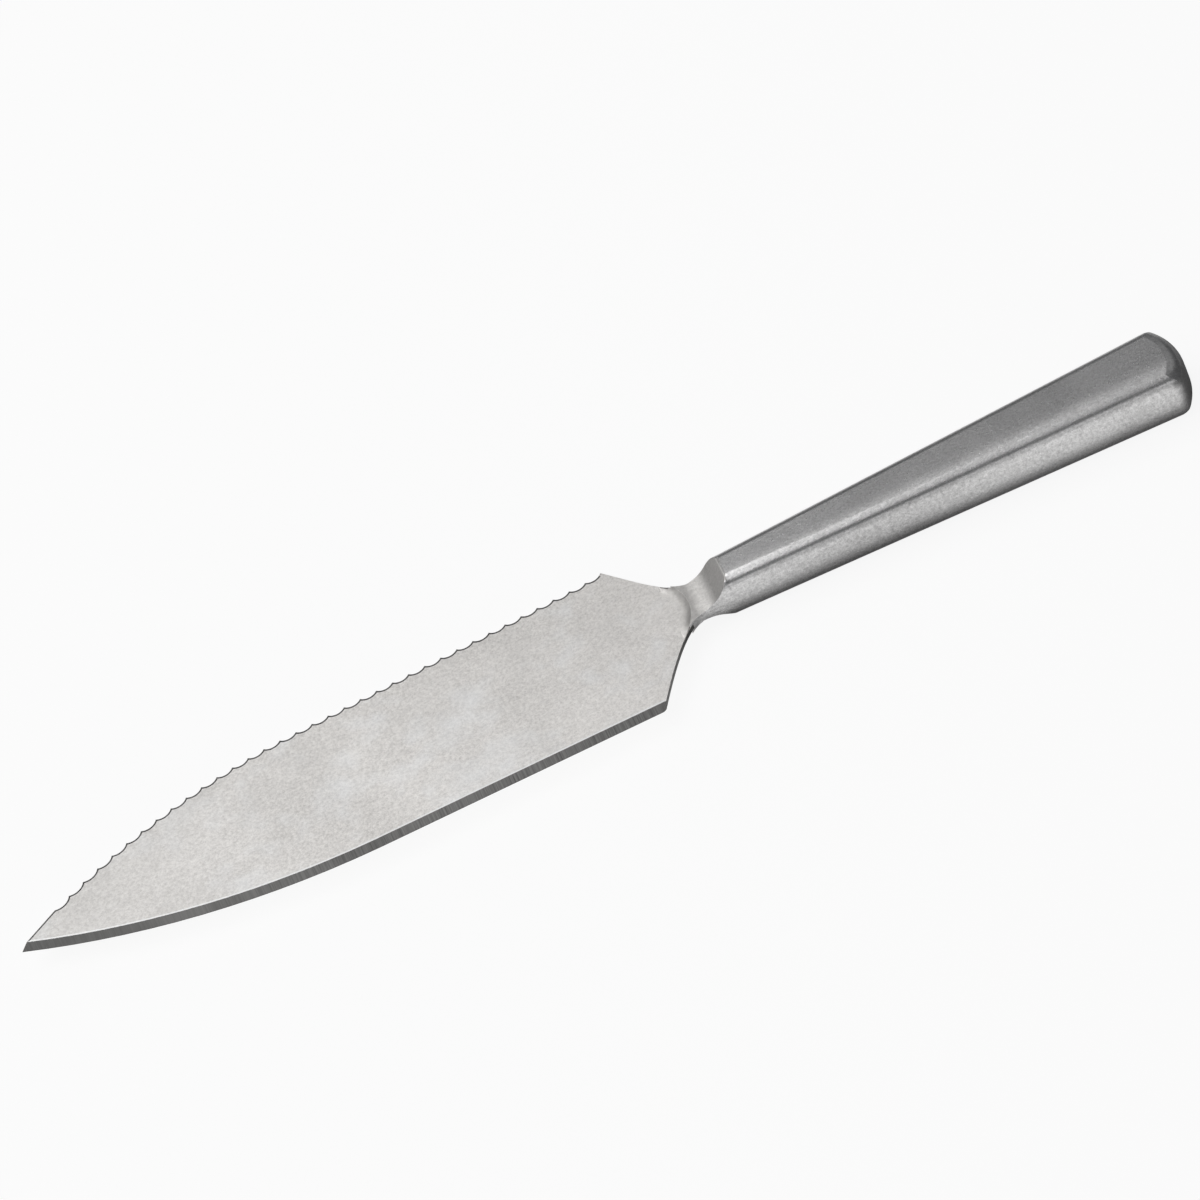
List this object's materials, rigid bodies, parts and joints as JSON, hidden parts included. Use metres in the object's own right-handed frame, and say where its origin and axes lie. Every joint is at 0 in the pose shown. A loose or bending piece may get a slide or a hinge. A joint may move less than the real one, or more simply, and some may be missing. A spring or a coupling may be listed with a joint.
{
  "type": "cake knife",
  "caption": "Steel cake knife with a broad pointed blade, scalloped along one edge and ground along the other, on a tapered hollow handle.",
  "frame": {"origin": "middle of the flat underside of the handle, halfway between its mouth and its butt", "axes": "+X towards the butt, -X towards the tip, +Y the scalloped side, +Z the upper face"},
  "size_m": [0.2855, 0.046, 0.0126],
  "materials": {
    "blade_steel": "satin, fine mottled grain",
    "bolster_steel": "satin, fine mottled grain",
    "braze": "soft dark line",
    "solder": "ground flush",
    "handle_steel": "satin with fine sparkle",
    "cement": "set filler, not seen"
  },
  "bodies": {
    "root": {"blade": "blade_steel", "upper_bolster": "bolster_steel", "lower_bolster": "bolster_steel", "bolster_braze": "braze", "mouth_solder": "solder", "upper_handle_shell": "handle_steel", "lower_handle_shell": "handle_steel", "handle_seam_weld": "handle_steel", "tang_cement": "cement"}
  },
  "joints": []
}
